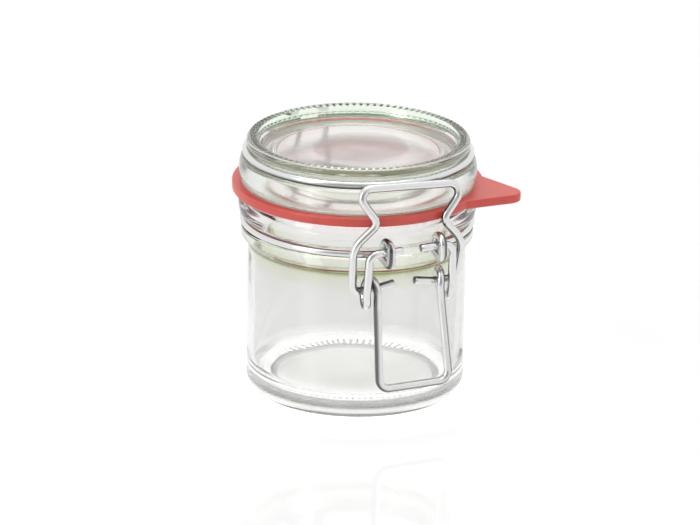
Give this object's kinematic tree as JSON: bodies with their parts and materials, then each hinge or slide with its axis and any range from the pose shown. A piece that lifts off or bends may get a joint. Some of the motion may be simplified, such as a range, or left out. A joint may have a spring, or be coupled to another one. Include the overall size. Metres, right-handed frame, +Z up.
{
  "type": "clip-top glass jar",
  "caption": "Small round preserving jar of pressed glass, empty, with a glass lid, a red rubber gasket with a pull tab and a wire bail closure, shut",
  "frame": {"origin": "centre of the whole object's bounding box, on the plane the jar stands on; the jar's own axis is 1.4 mm towards -X and 1.3 mm towards -Y from it, because the tab and the hinge stand out further than what is opposite", "axes": "+Z up along the jar's axis; the wire closure faces -Y and the lid's hinge is at +Y; the gasket's pull tab points between -Y and +X"},
  "size_m": [0.0808, 0.0916, 0.0809],
  "materials": {
    "clear_glass": "clear, faintly green, smooth",
    "steel_wire": "bright drawn wire",
    "red_rubber": "matt, coral red"
  },
  "bodies": {
    "jar": {"jar_glass": "clear_glass", "neck_wire": "steel_wire"},
    "lid": {"lid_glass": "clear_glass", "lid_wire": "steel_wire", "gasket": "red_rubber"},
    "lever": {"lever": "steel_wire"},
    "bail": {"bail": "steel_wire"}
  },
  "joints": [
    {"name": "lid_hinge", "type": "hinge", "parent": "jar", "child": "lid", "pos_m": [-0.00144, 0.04175, 0.0615], "axis": [-1, 0, 0], "range_deg": [0, 110]},
    {"name": "lever_pivot", "type": "hinge", "parent": "jar", "child": "lever", "pos_m": [-0.00144, -0.0418, 0.0567], "axis": [-1, 0, 0], "range_deg": [0, 135]},
    {"name": "bail_pivot", "type": "hinge", "parent": "lever", "child": "bail", "pos_m": [-0.00144, -0.0378, 0.0441], "axis": [-1, 0, 0], "range_deg": [-150, 0]}
  ],
  "couplings": [
    {"joint": "bail_pivot", "follows": "lever_pivot", "ratio": -1.1}
  ]
}
